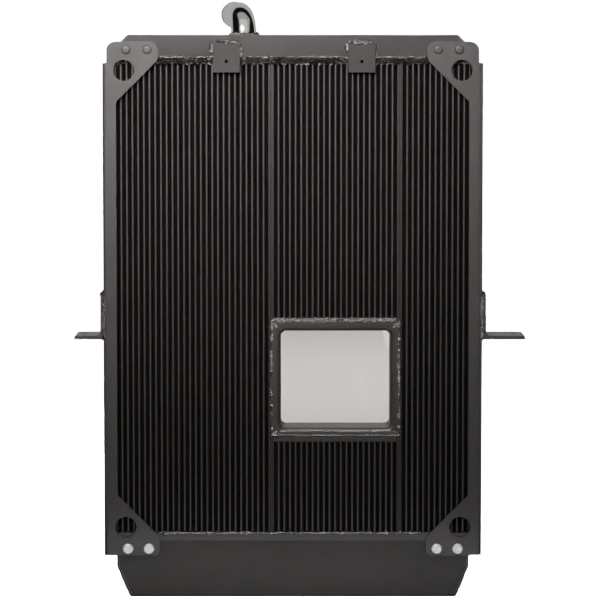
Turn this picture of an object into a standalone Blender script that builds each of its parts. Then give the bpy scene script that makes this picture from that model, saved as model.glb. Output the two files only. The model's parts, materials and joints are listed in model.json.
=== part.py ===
"""Heavy-duty down-flow radiator with a window through its core.

The frame: +Z up, +X to the right seen from the front, +Y to the back. The origin is the centre
of the bottom tank's underside. All sizes are in metres.
"""
import math

import bmesh
import bpy
from mathutils import Matrix, Vector

# ------------------------------------------------------------------ driving dimensions
GAP = 0.0003  # left between pieces that touch
BEYOND = 0.010  # how far a cutter runs past the piece it cuts

# Core: flat tubes in two rows with air fins between them
PITCH = 0.01188
TUBE_WIDTH = 0.0042
TUBE_BORE_WIDTH = 0.0026
TUBE_END_WALL = 0.0015
CORE_HALF_DEPTH = 0.038
ROW_HALF_GAP = 0.003
FIN_HALF_DEPTH = 0.0352
FIN_WIDTH = PITCH - TUBE_WIDTH
CORE_BOTTOM = 0.1218
CORE_TOP = 1.133
BOTTOM_BAR_TOP = 0.1365
TOP_BAR_BOTTOM = 1.120
OUTER_PLATE = 0.003
BLOCK_JOINT_GAP = 0.0005

# First tube centre and number of tubes in each block, left to right
LEFT_FIRST_TUBE = -0.3581
LEFT_TUBES = 26
MIDDLE_FIRST_TUBE = -0.0298
MIDDLE_TUBES = 21
RIGHT_FIRST_TUBE = 0.2386
RIGHT_TUBES = 11

# Window: a 9 by 8 inch opening with a hollow collector round it
WINDOW_WIDTH = 0.2286
WINDOW_HEIGHT = 0.2032
WINDOW_CENTRE_X = 0.0893
WINDOW_CENTRE_Z = 0.4606
WINDOW_CORNER = 0.010
WINDOW_FLARE = 0.007
SLEEVE_SHEET = 0.003
WINDOW_PLATE = 0.003
WINDOW_FRONT = -0.043
COLLECTOR_BOTTOM = 0.344
COLLECTOR_TOP = 0.5817
COLLECTOR_SHEET = 0.004
COLLECTOR_MOUTH_INSET = 0.010
COLLECTOR_MOUTH_HALF_DEPTH = 0.032
UPPER_BLOCK_BOTTOM = 0.582
UPPER_BLOCK_BAR_TOP = 0.5895
LOWER_BLOCK_TOP = 0.3437
LOWER_BLOCK_BAR_BOTTOM = 0.3282

# Tanks and header collars
TANK_HALF_DEPTH = 0.0457
TANK_SHEET = 0.0048
TANK_HALF_WIDTH = 0.3704
TOP_TANK_TOP = 1.181
TOP_TANK_CHAMFER = 0.026
BOTTOM_TANK_SLOPE_TOP = 0.0655
BOTTOM_TANK_FOOT = 0.3423
COLLAR_HALF_WIDTH = 0.375
TOP_COLLAR_HALF_DEPTH = 0.0415

# Side channels, one folded sheet each, with gussets at the corners of both flanges
SHEET = 0.0048
CHANNEL_HALF_DEPTH = 0.0508
CHANNEL_OUTSIDE = 0.397
CHANNEL_BEND = 0.0085
CHANNEL_BOTTOM = 0.089
CHANNEL_TOP = 1.122
FLANGE_INSIDE = 0.3675
GUSSET_INSIDE = 0.2797
GUSSET_TOP = 1.167
GUSSET_CORNER = 0.0185
GUSSET_LOW_CORNER = 0.011
UPPER_DIAGONAL_START = 1.0412
LOWER_DIAGONAL_START = 0.2165
GUSSET_HOLE = 0.022
UPPER_HOLE = (0.3515, 1.107)
LOWER_HOLE = (0.3506, 0.149)

# Gusset bolts, M10, and the blocks in the tanks that they screw into
BOLT_X = (0.3465, 0.3025)
UPPER_BOLT_Z = 1.1495
LOWER_BOLT_Z = 0.1034
SHANK = 0.005
SHANK_LENGTH = 0.026
SHANK_ROOT = 0.0005
BOLT_CLEARANCE = 0.0055
BLOCK_BORE = 0.0054
DRILL_REACH = 0.060
HEX_SINK = 0.0002  # keeps the hexagon's ends off the flange's faces
BOLT_FLANGE = 0.0109
FLANGE_THICKNESS = 0.0018
HEX_CORNER = 0.0098
HEX_HEIGHT = 0.0082
DOME_RADIUS = 0.0095
DOME_RISE = 0.0032
DOME_EDGE = 0.0006
BLOCK_HALF_DEPTH = 0.0406
UPPER_BLOCK_Z = (1.1395, 1.1592)
LOWER_BLOCK_Z = (0.0935, 0.1135)
MOUNT_BLOCK_X = (0.289, 0.357)

# Tabs on the front of the top tank
TAB_SHEET = 0.006
TAB_BOTTOM = 1.1025
TAB_TOP = 1.1625
TAB_WIDTH = 0.056
TAB_CENTRES = {"left": -0.1381, "right": 0.1437}
TAB_HOLE = 0.0035
TAB_HOLE_Z = 1.1252

# Foot brackets on the channels, cut from rolled angle
BRACKET_HALF_DEPTH = 0.048
BRACKET_BOTTOM = 0.5445
BRACKET_TOP = 0.638
FOOT_SHEET = 0.0085
ANGLE_FILLET = 0.008
ANGLE_TOE = 0.004
LEFT_LEG = 0.4033
LEFT_REACH = 0.458
LEFT_FOOT_HOLE = 0.4387
LEFT_HOLE_RADIUS = 0.0070
LEFT_SLOT = 0.0026  # how much longer than wide the left hole is
RIGHT_LEG = 0.4047
RIGHT_REACH = 0.487
RIGHT_FOOT_HOLE = 0.4660
RIGHT_HOLE_RADIUS = 0.0079
RIGHT_HOLE_Y = 0.008

# Pipes
PIPE_RADIUS = 0.027
PIPE_SHEET = 0.002
PIPE_HOLE = 0.0274
BEAD_SWELL = 1.06
BEAD_HALF_LENGTH = 0.004
BEAD_FROM_MOUTH = 0.010
INLET_X = -0.1027
INLET_Y = 0.004
ELBOW_RADIUS = 0.041
ELBOW_TOP = 1.2225
INLET_YAW = 16.5
INLET_LEG = 0.044
OUTLET_X = 0.232
OUTLET_Z = 0.062
OUTLET_END = 0.112

# Drain cock on the back of the bottom tank
DRAIN_X = -0.205
DRAIN_Z = 0.030
BUNG_RADIUS = 0.015
BUNG_BACK = 0.0535
BUNG_BORE = 0.0074
COCK_STUB = 0.0070
COCK_NUT = 0.0118
COCK_NUT_LENGTH = 0.007
COCK_BARREL = 0.0085
COCK_LENGTH = 0.024
COCK_BORE = 0.0034
SPOUT = 0.0050
SPOUT_BACK = 0.015
SPOUT_DROP = 0.012
SPOUT_HALF_LENGTH = 0.008
NOZZLE_REACH = 0.013
SPINDLE = 0.0030
SPINDLE_LENGTH = 0.009
HUB = 0.0075
HUB_HEIGHT = 0.0035
LEVER_LENGTH = 0.040
LEVER_WIDTH = 0.009
LEVER_LOW = 0.002
LEVER_HIGH = 0.010

PARTS = bpy.data.collections.new("radiator")
CUTTERS = bpy.data.collections.new("cutters")


# ------------------------------------------------------------------ helpers
def clear_scene():
    for obj in list(bpy.data.objects):
        bpy.data.objects.remove(obj, do_unlink=True)
    bpy.context.scene.collection.children.link(PARTS)
    bpy.context.scene.collection.children.link(CUTTERS)


def finish_of(name, look):
    """A Principled material from (colour, roughness, metallic)."""
    colour, roughness, metallic = look
    material = bpy.data.materials.new(name)
    material.use_nodes = True
    shader = material.node_tree.nodes["Principled BSDF"]
    shader.inputs["Base Color"].default_value = (*colour, 1.0)
    shader.inputs["Roughness"].default_value = roughness
    shader.inputs["Metallic"].default_value = metallic
    return material


BLACK_PAINT = ((0.030, 0.028, 0.027), 0.45, 0.0)
FIN_BLACK = ((0.012, 0.011, 0.011), 0.65, 0.0)
ZINC = ((0.72, 0.73, 0.75), 0.30, 1.0)
CHROME = ((0.60, 0.60, 0.60), 0.12, 1.0)
BRASS = ((0.70, 0.50, 0.22), 0.35, 1.0)


def add_part(name, mesh, look):
    part = bpy.data.objects.new(name, mesh)
    mesh.name = name
    mesh.materials.clear()
    mesh.materials.append(finish_of(name, look))
    PARTS.objects.link(part)
    return part


def add_cutter(name, mesh):
    cutter = bpy.data.objects.new(name, mesh)
    CUTTERS.objects.link(cutter)
    cutter.hide_render = True
    cutter.display_type = "WIRE"
    return cutter


def mesh_from(bm):
    mesh = bpy.data.meshes.new("mesh")
    bm.to_mesh(mesh)
    bm.free()
    return mesh


def cube_mesh(corner_pairs):
    """One mesh of boxes, each given by its lowest and highest corner."""
    bm = bmesh.new()
    for low, high in corner_pairs:
        low, high = Vector(low), Vector(high)
        size = high - low
        place = Matrix.Translation((low + high) / 2) @ Matrix.Diagonal((*size, 1.0))
        bmesh.ops.create_cube(bm, size=1.0, matrix=place)
    return mesh_from(bm)


def cylinder_mesh(centres, radius, half_length, axis="Y", sides=12):
    """One mesh of equal cylinders along an axis, centred on the given points."""
    turns = {"Y": Matrix.Rotation(math.pi / 2, 4, "X"), "Z": Matrix.Identity(4)}
    bm = bmesh.new()
    for centre in centres:
        bmesh.ops.create_cone(
            bm,
            cap_ends=True,
            segments=sides,
            radius1=radius,
            radius2=radius,
            depth=2 * half_length,
            matrix=Matrix.Translation(centre) @ turns[axis],
        )
    return mesh_from(bm)


def arc(centre, radius, start, end, steps):
    """Points of an arc in its plane, angles in degrees."""
    points = []
    for step in range(steps + 1):
        angle = math.radians(start + (end - start) * step / steps)
        u = centre[0] + radius * math.cos(angle)
        v = centre[1] + radius * math.sin(angle)
        points.append((u, v))
    return points


def circle(centre, radius, steps):
    return arc(centre, radius, 0, 360, steps)[:-1]


def rounded_rectangle(centre, width, height, radius, steps=4):
    half_u = width / 2 - radius
    half_v = height / 2 - radius
    points = []
    for turn, (side_u, side_v) in enumerate(((1, 1), (-1, 1), (-1, -1), (1, -1))):
        corner = (centre[0] + side_u * half_u, centre[1] + side_v * half_v)
        points += arc(corner, radius, 90 * turn, 90 * turn + 90, steps)
    return points


UPRIGHT = Matrix.Rotation(math.pi / 2, 4, "X")  # an outline's (u, v) becomes (X, Z)


def sheet_mesh(loops, low, high, upright=True):
    """A flat outline, with further loops as holes, filled and extruded from low to high.

    Upright outlines are drawn in X and Z and extruded along Y. The others are drawn in X and Y
    and extruded along Z.
    """
    curve = bpy.data.curves.new("outline", "CURVE")
    curve.dimensions = "2D"
    curve.fill_mode = "BOTH"
    curve.extrude = (high - low) / 2
    for loop in loops:
        spline = curve.splines.new("POLY")
        spline.points.add(len(loop) - 1)
        for point, (u, v) in zip(spline.points, loop):
            point.co = (u, v, 0.0, 1.0)
        spline.use_cyclic_u = True
    guide = bpy.data.objects.new("outline", curve)
    CUTTERS.objects.link(guide)
    middle = (low + high) / 2
    if upright:
        guide.matrix_world = Matrix.Translation((0, middle, 0)) @ UPRIGHT
    else:
        guide.matrix_world = Matrix.Translation((0, 0, middle))
    return converted(guide)


def converted(guide):
    """A curve object's solid as a welded mesh in world coordinates; the curve is removed."""
    bpy.context.view_layer.update()
    graph = bpy.context.evaluated_depsgraph_get()
    mesh = bpy.data.meshes.new_from_object(guide.evaluated_get(graph))
    mesh.transform(guide.matrix_world)
    bpy.data.objects.remove(guide, do_unlink=True)
    bm = bmesh.new()
    bm.from_mesh(mesh)
    bmesh.ops.remove_doubles(bm, verts=bm.verts, dist=1e-6)
    bmesh.ops.recalc_face_normals(bm, faces=bm.faces)
    bm.to_mesh(mesh)
    bm.free()
    return mesh


def boolean(part, cutter, operation="DIFFERENCE"):
    step = part.modifiers.new(operation.lower(), "BOOLEAN")
    step.operation = operation
    step.solver = "EXACT"
    step.object = cutter


def united(first, *others):
    """One mesh of several closed meshes that overlap."""
    guide = bpy.data.objects.new("union", first)
    CUTTERS.objects.link(guide)
    tools = [add_cutter("union_tool", other) for other in others]
    for tool in tools:
        boolean(guide, tool, "UNION")
    mesh = converted(guide)
    for tool in tools:
        bpy.data.objects.remove(tool, do_unlink=True)
    return mesh


def turned_mesh(profile, sides):
    """A solid turned about Z, from a profile of (radius, height) that runs top to bottom."""
    mesh = bpy.data.meshes.new("profile")
    points = [(radius, 0.0, height) for radius, height in profile]
    edges = [(i, i + 1) for i in range(len(points) - 1)]
    mesh.from_pydata(points, edges, [])
    guide = bpy.data.objects.new("profile", mesh)
    CUTTERS.objects.link(guide)
    screw = guide.modifiers.new("turn", "SCREW")
    screw.axis = "Z"
    screw.steps = sides
    screw.render_steps = sides
    screw.use_merge_vertices = True
    screw.merge_threshold = 0.00001
    return converted(guide)


def smooth(part, angle=35):
    part.data.shade_smooth()
    part.data.set_sharp_from_angle(angle=math.radians(angle))


def mirrored(points, side):
    return [(side * u, v) for u, v in points]


# ------------------------------------------------------------------ core
def tube_centres(first, count):
    return [first + PITCH * i for i in range(count)]


def block_span(first, count):
    """The inner faces of a block's side plates."""
    margin = TUBE_WIDTH / 2 + FIN_WIDTH
    return first - margin, first + PITCH * (count - 1) + margin


def tube_bank(name, first, count, bottom, bar_low, bar_high, top):
    """Flat tubes in two rows, brazed into a bar at each end, with every passage open."""
    left, right = block_span(first, count)
    left += GAP
    right -= GAP
    depth = CORE_HALF_DEPTH
    bank = add_part(name, cube_mesh([((left, -depth, bottom), (right, depth, top))]), BLACK_PAINT)
    air = []
    edges = [left - BEYOND]
    for x in tube_centres(first, count):
        edges += [x - TUBE_WIDTH / 2, x + TUBE_WIDTH / 2]
    edges.append(right + BEYOND)
    for low_x, high_x in zip(edges[0::2], edges[1::2]):
        air.append(((low_x, -depth - BEYOND, bar_low), (high_x, depth + BEYOND, bar_high)))
    boolean(bank, add_cutter(f"{name}_air", cube_mesh(air)))
    row_gap = ((left - BEYOND, -ROW_HALF_GAP, bar_low), (right + BEYOND, ROW_HALF_GAP, bar_high))
    boolean(bank, add_cutter(f"{name}_row_gap", cube_mesh([row_gap])))
    passages = []
    near = ROW_HALF_GAP + TUBE_END_WALL
    far = depth - TUBE_END_WALL
    for x in tube_centres(first, count):
        low_x = x - TUBE_BORE_WIDTH / 2
        high_x = x + TUBE_BORE_WIDTH / 2
        for low_y, high_y in ((-far, -near), (near, far)):
            passages.append(((low_x, low_y, bottom - BEYOND), (high_x, high_y, top + BEYOND)))
    boolean(bank, add_cutter(f"{name}_passages", cube_mesh(passages)))


def fin_pack(name, first, count, low, high):
    """The corrugated fins of a block as plain columns, joined in the gap between the tube rows."""
    left, right = block_span(first, count)
    solid = ((left + GAP, -FIN_HALF_DEPTH, low + GAP), (right - GAP, FIN_HALF_DEPTH, high - GAP))
    pack = add_part(name, cube_mesh([solid]), FIN_BLACK)
    tubes = []
    half = TUBE_WIDTH / 2 + GAP
    near = ROW_HALF_GAP - GAP
    far = FIN_HALF_DEPTH + BEYOND
    for x in tube_centres(first, count):
        for low_y, high_y in ((-far, -near), (near, far)):
            tubes.append(((x - half, low_y, low - BEYOND), (x + half, high_y, high + BEYOND)))
    boolean(pack, add_cutter(f"{name}_tubes", cube_mesh(tubes)))


def side_plate(name, low_x, high_x, low_z, high_z):
    low = (low_x, -CORE_HALF_DEPTH, low_z)
    high = (high_x, CORE_HALF_DEPTH, high_z)
    add_part(name, cube_mesh([(low, high)]), BLACK_PAINT)


def build_core():
    blocks = (
        ("left", LEFT_FIRST_TUBE, LEFT_TUBES, CORE_BOTTOM, BOTTOM_BAR_TOP, TOP_BAR_BOTTOM, CORE_TOP),
        ("right", RIGHT_FIRST_TUBE, RIGHT_TUBES, CORE_BOTTOM, BOTTOM_BAR_TOP, TOP_BAR_BOTTOM, CORE_TOP),
        (
            "upper_middle", MIDDLE_FIRST_TUBE, MIDDLE_TUBES,
            UPPER_BLOCK_BOTTOM, UPPER_BLOCK_BAR_TOP, TOP_BAR_BOTTOM, CORE_TOP,
        ),
        (
            "lower_middle", MIDDLE_FIRST_TUBE, MIDDLE_TUBES,
            CORE_BOTTOM, BOTTOM_BAR_TOP, LOWER_BLOCK_BAR_BOTTOM, LOWER_BLOCK_TOP,
        ),
    )
    for name, first, count, bottom, bar_low, bar_high, top in blocks:
        tube_bank(f"{name}_tubes", first, count, bottom, bar_low, bar_high, top)
        fin_pack(f"{name}_fins", first, count, bar_low, bar_high)

    left_in, left_out = block_span(LEFT_FIRST_TUBE, LEFT_TUBES)
    mid_in, mid_out = block_span(MIDDLE_FIRST_TUBE, MIDDLE_TUBES)
    right_in, right_out = block_span(RIGHT_FIRST_TUBE, RIGHT_TUBES)
    joint_left = (left_out + mid_in) / 2
    joint_right = (mid_out + right_in) / 2
    half = BLOCK_JOINT_GAP / 2
    side_plate("left_end_plate", left_in - OUTER_PLATE, left_in, CORE_BOTTOM, CORE_TOP)
    side_plate("right_end_plate", right_out, right_out + OUTER_PLATE, CORE_BOTTOM, CORE_TOP)
    side_plate("left_block_inner_plate", left_out, joint_left - half, CORE_BOTTOM, CORE_TOP)
    side_plate("right_block_inner_plate", joint_right + half, right_in, CORE_BOTTOM, CORE_TOP)
    for level, low_z, high_z in (
        ("upper", UPPER_BLOCK_BOTTOM, CORE_TOP),
        ("lower", CORE_BOTTOM, LOWER_BLOCK_TOP),
    ):
        side_plate(f"{level}_middle_left_plate", joint_left + half, mid_in, low_z, high_z)
        side_plate(f"{level}_middle_right_plate", mid_out, joint_right - half, low_z, high_z)
    return joint_left + half, joint_right - half


# ------------------------------------------------------------------ window
def lofted_ring(sections):
    """A closed ring lofted through equal loops of points, the last joined to the first."""
    bm = bmesh.new()
    rings = [[bm.verts.new(point) for point in section] for section in sections]
    for ring, following in zip(rings, rings[1:] + rings[:1]):
        for i in range(len(ring)):
            j = (i + 1) % len(ring)
            bm.faces.new((ring[i], ring[j], following[j], following[i]))
    bmesh.ops.recalc_face_normals(bm, faces=bm.faces)
    return mesh_from(bm)


def window_section(offset, y):
    """The opening's outline grown by an offset, at a depth."""
    outline = rounded_rectangle(
        (WINDOW_CENTRE_X, WINDOW_CENTRE_Z),
        WINDOW_WIDTH + 2 * offset,
        WINDOW_HEIGHT + 2 * offset,
        WINDOW_CORNER + offset,
    )
    return [(u, y, v) for u, v in outline]


def build_window(left, right):
    """The sleeve, the two frame plates and the hollow collector between them."""
    flare_centre = WINDOW_FRONT + WINDOW_FLARE
    inside = [(0.0, -WINDOW_FRONT)]
    for offset, y in arc((WINDOW_FLARE, flare_centre), WINDOW_FLARE, 180, 270, 4):
        inside.append((offset, y))
    outside = []
    for offset, y in arc((WINDOW_FLARE, flare_centre), WINDOW_FLARE - SLEEVE_SHEET, 270, 180, 4):
        outside.append((offset, y))
    outside.append((SLEEVE_SHEET, -WINDOW_FRONT))
    profile = inside + outside
    sleeve = add_part(
        "window_sleeve",
        lofted_ring([window_section(offset, y) for offset, y in profile]),
        BLACK_PAINT,
    )
    smooth(sleeve)

    outer = [
        (left, COLLECTOR_BOTTOM),
        (right, COLLECTOR_BOTTOM),
        (right, COLLECTOR_TOP),
        (left, COLLECTOR_TOP),
    ]
    for name, hole_offset, low_y in (
        ("window_front_plate", WINDOW_FLARE + GAP, WINDOW_FRONT),
        ("window_back_plate", SLEEVE_SHEET + GAP, -WINDOW_FRONT - WINDOW_PLATE),
    ):
        hole = [(x, z) for x, _, z in window_section(hole_offset, 0.0)]
        add_part(name, sheet_mesh([outer, hole], low_y, low_y + WINDOW_PLATE), BLACK_PAINT)

    sheet = COLLECTOR_SHEET
    inner = [
        (left + sheet, COLLECTOR_BOTTOM + sheet),
        (right - sheet, COLLECTOR_BOTTOM + sheet),
        (right - sheet, COLLECTOR_TOP - sheet),
        (left + sheet, COLLECTOR_TOP - sheet),
    ]
    back = -WINDOW_FRONT - WINDOW_PLATE - GAP
    box = add_part("window_collector", sheet_mesh([outer, inner], -back, back), BLACK_PAINT)
    mouth_depth = COLLECTOR_MOUTH_HALF_DEPTH
    low = (left + COLLECTOR_MOUTH_INSET, -mouth_depth, COLLECTOR_BOTTOM - BEYOND)
    high = (right - COLLECTOR_MOUTH_INSET, mouth_depth, COLLECTOR_TOP + BEYOND)
    boolean(box, add_cutter("window_collector_mouths", cube_mesh([(low, high)])))


# ------------------------------------------------------------------ tanks
def bolt_places(height):
    return [(side * x, 0.0, height) for side in (-1, 1) for x in BOLT_X]


def offset_shell(name, outer, inner, depth):
    shell = add_part(name, sheet_mesh([outer], -depth, depth), BLACK_PAINT)
    hollow = sheet_mesh([inner], -depth + TANK_SHEET, depth - TANK_SHEET)
    boolean(shell, add_cutter(f"{name}_hollow", hollow))
    return shell


def build_top_tank():
    end = TANK_HALF_WIDTH
    low = CORE_TOP + GAP
    shoulder = TOP_TANK_TOP - TOP_TANK_CHAMFER
    outer = [
        (-end, low), (end, low), (end, shoulder),
        (end - TOP_TANK_CHAMFER, TOP_TANK_TOP), (TOP_TANK_CHAMFER - end, TOP_TANK_TOP), (-end, shoulder),
    ]
    end -= TANK_SHEET
    top = TOP_TANK_TOP - TANK_SHEET
    shoulder -= TANK_SHEET * math.tan(math.radians(22.5))
    chamfer = top - shoulder
    inner = [
        (-end, low - BEYOND), (end, low - BEYOND), (end, shoulder),
        (end - chamfer, top), (chamfer - end, top), (-end, shoulder),
    ]
    tank = offset_shell("top_tank", outer, inner, TANK_HALF_DEPTH)
    drill = cylinder_mesh(bolt_places(UPPER_BOLT_Z), BOLT_CLEARANCE, DRILL_REACH, sides=10)
    boolean(tank, add_cutter("top_bolt_holes", drill))
    mouth = cylinder_mesh([(INLET_X, INLET_Y, TOP_TANK_TOP)], PIPE_HOLE, BEYOND, "Z", 24)
    boolean(tank, add_cutter("inlet_mouth", mouth))


def build_bottom_tank():
    end = TANK_HALF_WIDTH
    high = CORE_BOTTOM - GAP
    outer = [
        (-BOTTOM_TANK_FOOT, 0.0), (BOTTOM_TANK_FOOT, 0.0), (end, BOTTOM_TANK_SLOPE_TOP),
        (end, high), (-end, high), (-end, BOTTOM_TANK_SLOPE_TOP),
    ]
    slope = math.atan2(BOTTOM_TANK_SLOPE_TOP, end - BOTTOM_TANK_FOOT)
    foot = BOTTOM_TANK_FOOT - TANK_SHEET * math.tan(slope / 2)
    knee = BOTTOM_TANK_SLOPE_TOP + TANK_SHEET * math.tan((math.pi / 2 - slope) / 2)
    end -= TANK_SHEET
    inner = [
        (-foot, TANK_SHEET), (foot, TANK_SHEET), (end, knee),
        (end, high + BEYOND), (-end, high + BEYOND), (-end, knee),
    ]
    tank = offset_shell("bottom_tank", outer, inner, TANK_HALF_DEPTH)
    drill = cylinder_mesh(bolt_places(LOWER_BOLT_Z), BOLT_CLEARANCE, DRILL_REACH, sides=10)
    boolean(tank, add_cutter("low_bolt_holes", drill))
    back = TANK_HALF_DEPTH
    mouth = cylinder_mesh([(OUTLET_X, back, OUTLET_Z)], PIPE_HOLE, BEYOND, "Y", 24)
    boolean(tank, add_cutter("outlet_mouth", mouth))
    drain = cylinder_mesh([(DRAIN_X, back, DRAIN_Z)], BUNG_RADIUS + GAP, BEYOND, "Y", 16)
    boolean(tank, add_cutter("drain_mouth", drain))


def build_collars():
    """Bands round the core's two ends, which the tanks are welded to."""
    left = block_span(LEFT_FIRST_TUBE, LEFT_TUBES)[0] - OUTER_PLATE - GAP
    right = block_span(RIGHT_FIRST_TUBE, RIGHT_TUBES)[1] + OUTER_PLATE + GAP
    inner_depth = CORE_HALF_DEPTH + GAP
    inner = [(left, -inner_depth), (right, -inner_depth), (right, inner_depth), (left, inner_depth)]
    for name, depth, low, high in (
        ("top_header_collar", TOP_COLLAR_HALF_DEPTH, TOP_BAR_BOTTOM, CORE_TOP),
        ("bottom_header_collar", TANK_HALF_DEPTH, CORE_BOTTOM, BOTTOM_BAR_TOP),
    ):
        end = COLLAR_HALF_WIDTH
        outer = [(-end, -depth), (end, -depth), (end, depth), (-end, depth)]
        add_part(name, sheet_mesh([outer, inner], low, high, upright=False), BLACK_PAINT)


# ------------------------------------------------------------------ side channels
def channel_silhouette():
    """The right channel from the front: its flange with two gussets, and its web below the bend's top."""
    outer = CHANNEL_OUTSIDE - CHANNEL_BEND - GAP
    corner = GUSSET_CORNER
    low_corner = GUSSET_LOW_CORNER
    reach = FLANGE_INSIDE - GUSSET_INSIDE
    ease = corner * math.tan(math.radians(22.5))
    upper_end = UPPER_DIAGONAL_START + reach + ease
    lower_end = LOWER_DIAGONAL_START - reach - ease
    points = [(CHANNEL_OUTSIDE + BEYOND, CHANNEL_BOTTOM - BEYOND)]
    points += [(CHANNEL_OUTSIDE + BEYOND, CHANNEL_TOP), (outer, CHANNEL_TOP)]
    points += arc((outer - corner, GUSSET_TOP - corner), corner, 0, 90, 5)
    points += arc((GUSSET_INSIDE + corner, GUSSET_TOP - corner), corner, 90, 180, 5)
    points += arc((GUSSET_INSIDE + corner, upper_end), corner, 180, 225, 3)
    points += [(FLANGE_INSIDE, UPPER_DIAGONAL_START), (FLANGE_INSIDE, LOWER_DIAGONAL_START)]
    points += arc((GUSSET_INSIDE + corner, lower_end), corner, 135, 180, 3)
    points += arc((GUSSET_INSIDE + low_corner, CHANNEL_BOTTOM + low_corner), low_corner, 180, 270, 4)
    points.append((GUSSET_INSIDE + low_corner, CHANNEL_BOTTOM - BEYOND))
    return points


def channel_section():
    """The right channel from above, before its flanges are trimmed."""
    bend = CHANNEL_BEND
    depth = CHANNEL_HALF_DEPTH
    turn = CHANNEL_OUTSIDE - bend
    points = [(GUSSET_INSIDE, depth)]
    points += arc((turn, depth - bend), bend, 90, 0, 5)
    points += arc((turn, bend - depth), bend, 0, -90, 5)
    points += [(GUSSET_INSIDE, -depth), (GUSSET_INSIDE, SHEET - depth)]
    points += arc((turn, bend - depth), bend - SHEET, -90, 0, 4)
    points += arc((turn, depth - bend), bend - SHEET, 0, 90, 4)
    points.append((GUSSET_INSIDE, depth - SHEET))
    return points


def build_channels():
    """Each channel is one folded sheet whose wide flanges are trimmed to leave the gussets."""
    margin = 2 * BEYOND
    around = [
        (GUSSET_INSIDE - margin, CHANNEL_BOTTOM - margin),
        (CHANNEL_OUTSIDE + margin, CHANNEL_BOTTOM - margin),
        (CHANNEL_OUTSIDE + margin, GUSSET_TOP + margin),
        (GUSSET_INSIDE - margin, GUSSET_TOP + margin),
    ]
    reach = CHANNEL_HALF_DEPTH + margin
    for name, side in (("left_side_channel", -1), ("right_side_channel", 1)):
        section = mirrored(channel_section(), side)
        folded = sheet_mesh([section], CHANNEL_BOTTOM, GUSSET_TOP + GAP, upright=False)
        channel = add_part(name, folded, BLACK_PAINT)
        waste = [mirrored(around, side), mirrored(channel_silhouette(), side)]
        boolean(channel, add_cutter(f"{name}_waste", sheet_mesh(waste, -reach, reach)))
        eyes = [(side * x, 0.0, z) for x, z in (UPPER_HOLE, LOWER_HOLE)]
        boolean(channel, add_cutter(f"{name}_eyes", cylinder_mesh(eyes, GUSSET_HOLE, reach, sides=18)))
        drilled = [(side * x, 0.0, z) for x in BOLT_X for z in (UPPER_BOLT_Z, LOWER_BOLT_Z)]
        drill = cylinder_mesh(drilled, BOLT_CLEARANCE, reach, sides=10)
        boolean(channel, add_cutter(f"{name}_drill", drill))


def angle_section(leg, reach):
    """A rolled angle from the front: its back on the channel's web, its foot at the bottom."""
    root = CHANNEL_OUTSIDE + GAP
    foot_top = BRACKET_BOTTOM + FOOT_SHEET
    toe = ANGLE_TOE
    fillet = ANGLE_FILLET
    points = [(root, BRACKET_BOTTOM), (reach, BRACKET_BOTTOM)]
    points += arc((reach - toe, foot_top - toe), toe, 0, 90, 3)
    points += arc((leg + fillet, foot_top + fillet), fillet, 270, 180, 4)
    points += arc((leg - toe, BRACKET_TOP - toe), toe, 0, 90, 3)
    points.append((root, BRACKET_TOP))
    return points


def foot_outlines():
    """The holes through the feet, seen from above: a short slot on the left, a round hole on the right."""
    slot = rounded_rectangle(
        (-LEFT_FOOT_HOLE, 0.0), 2 * LEFT_HOLE_RADIUS + LEFT_SLOT, 2 * LEFT_HOLE_RADIUS, LEFT_HOLE_RADIUS - GAP
    )
    return slot, circle((RIGHT_FOOT_HOLE, RIGHT_HOLE_Y), RIGHT_HOLE_RADIUS, 16)


def build_brackets():
    """Angle brackets on the channels: the right foot is longer than the left one."""
    slot, hole = foot_outlines()
    for name, side, leg, reach, opening in (
        ("left_foot_bracket", -1, LEFT_LEG, LEFT_REACH, slot),
        ("right_foot_bracket", 1, RIGHT_LEG, RIGHT_REACH, hole),
    ):
        section = mirrored(angle_section(leg, reach), side)
        body = sheet_mesh([section], -BRACKET_HALF_DEPTH, BRACKET_HALF_DEPTH)
        bracket = add_part(name, body, BLACK_PAINT)
        above = BRACKET_BOTTOM + FOOT_SHEET + BEYOND
        cut = sheet_mesh([opening], BRACKET_BOTTOM - BEYOND, above, upright=False)
        boolean(bracket, add_cutter(f"{name}_hole", cut))


def build_tabs():
    front = -TANK_HALF_DEPTH - GAP
    for side, x in TAB_CENTRES.items():
        half = TAB_WIDTH / 2
        outline = [(x - half, TAB_BOTTOM), (x + half, TAB_BOTTOM), (x + half, TAB_TOP), (x - half, TAB_TOP)]
        hole = circle((x, TAB_HOLE_Z), TAB_HOLE, 12)
        add_part(f"{side}_tab", sheet_mesh([outline, hole], front - TAB_SHEET, front), BLACK_PAINT)


# ------------------------------------------------------------------ bolts and their blocks
def shank_mesh():
    """A shank along Z that reaches a little way up into its head."""
    profile = [(0.0, SHANK_ROOT), (SHANK, SHANK_ROOT), (SHANK, -SHANK_LENGTH), (0.0, -SHANK_LENGTH)]
    return turned_mesh(profile, 10)


def flange_bolt_mesh():
    """Flanged hexagon bolt along Z, its head's underside at 0 and its shank downwards."""
    flange = [(0.0, FLANGE_THICKNESS), (BOLT_FLANGE, FLANGE_THICKNESS), (BOLT_FLANGE, 0.0), (0.0, 0.0)]
    head = cylinder_mesh([(0.0, 0.0, HEX_HEIGHT / 2)], HEX_CORNER, HEX_HEIGHT / 2 - HEX_SINK, "Z", 6)
    return united(turned_mesh(flange, 14), shank_mesh(), head)


def dome_bolt_mesh():
    """Low domed bolt along Z, its head's underside at 0 and its shank downwards."""
    dome = [(0.0, DOME_RISE)]
    for share in (0.5, 0.85):
        dome.append((DOME_RADIUS * share, DOME_RISE * math.sqrt(1 - share * share)))
    dome += [(DOME_RADIUS, DOME_EDGE), (DOME_RADIUS, 0.0), (0.0, 0.0)]
    return united(turned_mesh(dome, 14), shank_mesh())


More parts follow.
